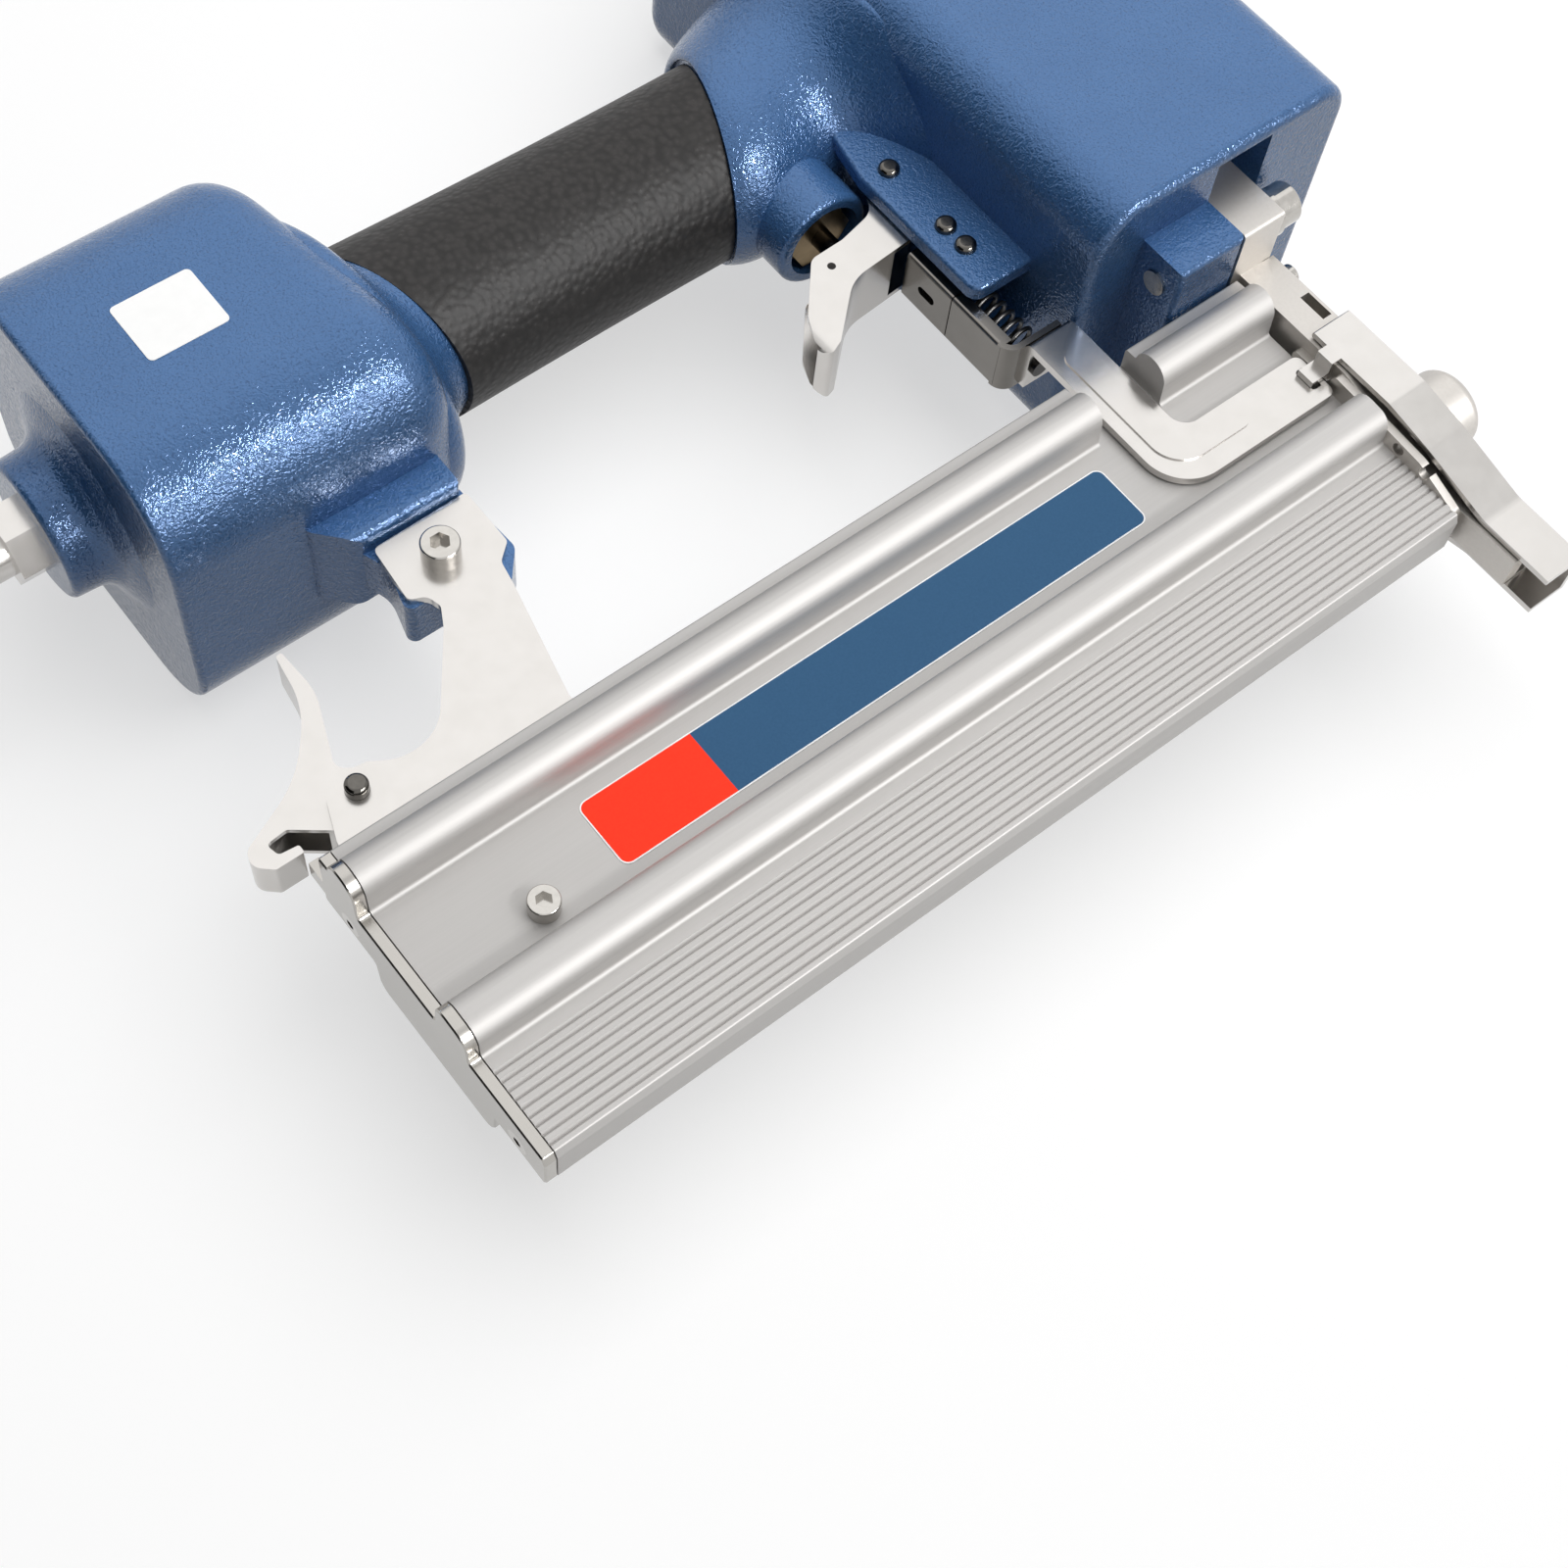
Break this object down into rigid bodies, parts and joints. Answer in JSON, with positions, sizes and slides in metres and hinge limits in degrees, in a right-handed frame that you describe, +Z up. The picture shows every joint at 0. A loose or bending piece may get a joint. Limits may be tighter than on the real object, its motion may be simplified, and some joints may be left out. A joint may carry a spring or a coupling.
{
  "type": "pneumatic stapler",
  "caption": "Pneumatic nail driver on its side: cast head and handle, rubber grip, ridged magazine, sprung trigger, latch and contact safety.",
  "frame": {"origin": "on the floor under the middle of the tool as it lies on its left side", "axes": "+X along the magazine towards the nose, +Y from the nose tip towards the cylinder cap, +Z up out of the tool's right side"},
  "size_m": [0.318, 0.2802, 0.08],
  "materials": {
    "blue_enamel": "glossy hammered blue enamel on a light-alloy casting",
    "grip_rubber": "matte leather-grained rubber",
    "anodised_extrusion": "satin drawn extrusion",
    "light_alloy": "turned alloy",
    "nickel_sheet": "nickel-plated sheet",
    "nose_steel": "hardened satin steel",
    "screw_steel": "plated cap screw",
    "dark_steel": "blackened steel",
    "valve_bronze": "turned bronze",
    "spring_steel": "spring wire",
    "seal_rubber": "moulded seal",
    "cap_plastic": "moulded black plastic"
  },
  "bodies": {
    "body": {"gun_body": "blue_enamel", "grip_sleeve": "grip_rubber", "air_plug": "nickel_sheet", "cylinder_cap": "blue_enamel", "cap_gasket": "seal_rubber", "cap_screws": "screw_steel", "exhaust_deflector": "cap_plastic", "deflector_screw": "screw_steel", "cylinder_sleeve": "light_alloy", "bumper": "seal_rubber", "head_valve_spring": "spring_steel", "nose_guide": "nose_steel", "nose_front": "nose_steel", "front_screws": "screw_steel", "nose_rear_plate": "nose_steel", "nose_washers": "screw_steel", "nose_screws": "screw_steel", "fixed_magazine": "anodised_extrusion", "stop_screw": "screw_steel", "magazine_bracket": "nickel_sheet", "bracket_screw": "screw_steel", "latch_pin": "dark_steel", "latch_spring": "spring_steel", "trigger_valve": "valve_bronze", "valve_spring": "spring_steel", "trigger_pin": "dark_steel", "guide_pins": "dark_steel", "safety_spring": "spring_steel"},
    "trigger": {"trigger": "nickel_sheet", "trip_pin": "dark_steel"},
    "trip_lever": {"trip_lever": "nickel_sheet"},
    "valve_stem": {"valve_stem": "dark_steel", "valve_ring": "seal_rubber"},
    "piston": {"piston": "light_alloy", "piston_ring": "seal_rubber", "driver_blade": "nose_steel"},
    "head_valve": {"head_valve": "light_alloy", "head_valve_ring": "seal_rubber"},
    "safety": {"lower_yoke": "nickel_sheet", "upper_yoke": "nickel_sheet", "yoke_rivet": "dark_steel", "safety_bar": "nickel_sheet", "contact_shoe": "nickel_sheet", "shoe_boss": "nose_steel"},
    "sliding_magazine": {"sliding_magazine": "anodised_extrusion", "end_plate": "nickel_sheet", "end_screws": "screw_steel"},
    "pusher": {"pusher": "cap_plastic", "pusher_spring": "spring_steel"},
    "latch": {"latch_lever": "nickel_sheet"}
  },
  "joints": [
    {"name": "trigger_pull", "type": "hinge", "parent": "body", "child": "trigger", "pos_m": [0.0742, 0.0247, 0.04], "axis": [0, 0, -1], "range_deg": [0, 12], "stiffness_Nm_per_rad": 0.3, "springref_deg": -5.73},
    {"name": "trip_lever_swing", "type": "hinge", "parent": "trigger", "child": "trip_lever", "pos_m": [0.0487, 0.0132, 0.04], "axis": [0, 0, 1], "range_deg": [-5, 0]},
    {"name": "valve_stem_push", "type": "slide", "parent": "body", "child": "valve_stem", "axis": [0, 1, 0], "range_m": [0, 0.0036], "deforming": ["valve_spring"]},
    {"name": "piston_stroke", "type": "slide", "parent": "body", "child": "piston", "axis": [0, -1, 0], "range_m": [0, 0.0836]},
    {"name": "head_valve_lift", "type": "slide", "parent": "body", "child": "head_valve", "axis": [0, 1, 0], "range_m": [0, 0.005], "stiffness_N_per_m": 200, "springref_m": -0.01, "deforming": ["head_valve_spring"]},
    {"name": "safety_slide", "type": "slide", "parent": "body", "child": "safety", "axis": [0, 1, 0], "range_m": [0, 0.008], "stiffness_N_per_m": 150, "springref_m": -0.01, "deforming": ["safety_spring"]},
    {"name": "magazine_slide", "type": "slide", "parent": "body", "child": "sliding_magazine", "axis": [-1, 0, 0], "range_m": [0, 0.18]},
    {"name": "pusher_slide", "type": "slide", "parent": "sliding_magazine", "child": "pusher", "axis": [-1, 0, 0], "range_m": [0, 0.15], "stiffness_N_per_m": 10, "springref_m": -0.5},
    {"name": "latch_turn", "type": "hinge", "parent": "body", "child": "latch", "pos_m": [-0.1086, -0.0345, 0.04], "axis": [0, 0, -1], "range_deg": [0, 15], "stiffness_Nm_per_rad": 0.1, "springref_deg": -5.73, "deforming": ["latch_spring"]}
  ],
  "couplings": [
    {"joint": "valve_stem_push", "follows": "trigger_pull", "m_per_rad": 0.017}
  ]
}
